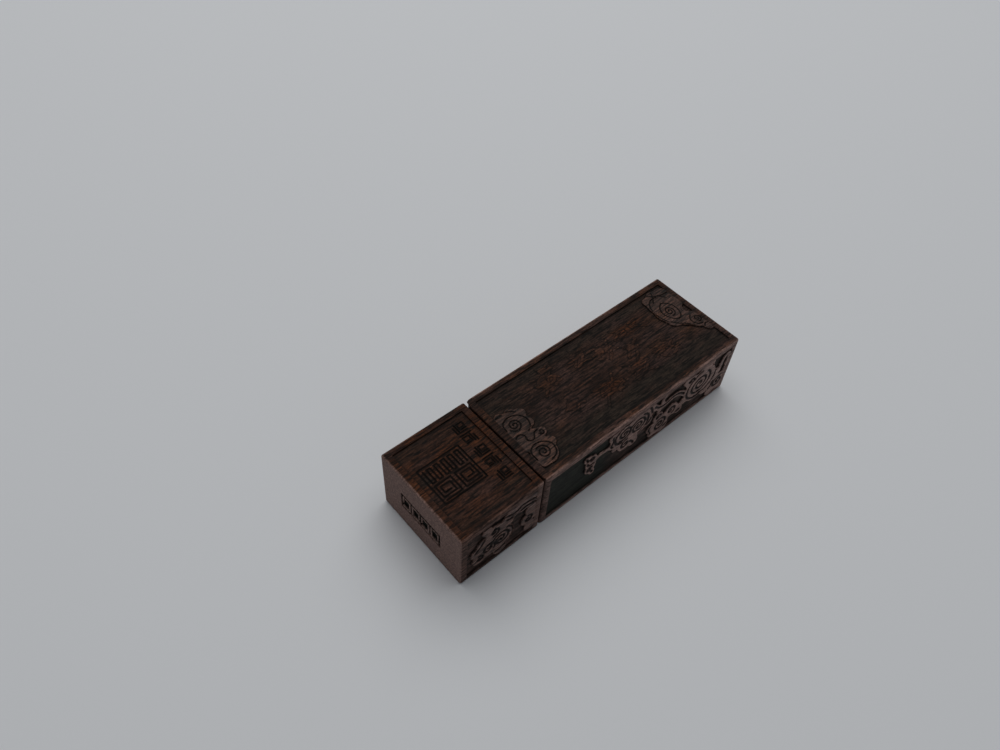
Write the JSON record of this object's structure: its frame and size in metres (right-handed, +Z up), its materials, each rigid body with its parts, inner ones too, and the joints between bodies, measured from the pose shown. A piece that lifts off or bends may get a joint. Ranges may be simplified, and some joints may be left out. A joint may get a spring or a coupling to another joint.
{
  "type": "usb flash drive",
  "caption": "Carved rosewood block drive whose pull-off cap covers a flat steel data plug, with a circuit board inside.",
  "frame": {"origin": "under the middle of the closed drive, on the surface it lies on", "axes": "+X from the cap's end to the tail, along the drive; +Y across it, away from the visible long side; +Z up out of the carved top face"},
  "size_m": [0.07, 0.0218, 0.0147],
  "materials": {
    "rosewood": "satin, carved, with darkened grounds and worn reddish-brown borders",
    "nickel_steel": "stamped sheet with a dull nickel plate",
    "white_plastic": "moulded, slightly satin",
    "gold_plate": "thin bright gold plate",
    "bright_nickel": "bright nickel plate",
    "crystal_can": "drawn metal can",
    "solder_mask": "green glossy mask over glass-fibre board",
    "black_epoxy": "moulded, fine matte",
    "tan_ceramic": "fired ceramic with tinned ends",
    "black_ceramic": "glazed ceramic with tinned ends",
    "clear_lens": "clear moulded lens on a white base"
  },
  "bodies": {
    "body": {"body_block": "rosewood", "body_magnet_left": "bright_nickel", "body_magnet_right": "bright_nickel", "plug_shell": "nickel_steel", "plug_tongue": "white_plastic", "contact_power": "gold_plate", "contact_data_minus": "gold_plate", "contact_data_plus": "gold_plate", "contact_ground": "gold_plate", "circuit_board": "solder_mask", "controller_chip": "black_epoxy", "flash_chip": "black_epoxy", "crystal": "crystal_can", "activity_lamp": "clear_lens", "supply_capacitor": "tan_ceramic", "core_capacitor": "tan_ceramic", "crystal_capacitor_left": "tan_ceramic", "crystal_capacitor_right": "tan_ceramic", "data_resistor_minus": "black_ceramic", "data_resistor_plus": "black_ceramic", "lamp_resistor": "black_ceramic", "supply_bead": "black_ceramic"},
    "cap": {"cap_block": "rosewood", "cap_magnet_left": "bright_nickel", "cap_magnet_right": "bright_nickel"}
  },
  "joints": [
    {"name": "cap_slide", "type": "slide", "parent": "body", "child": "cap", "axis": [-1, 0, 0], "range_m": [0, 0.03]}
  ]
}
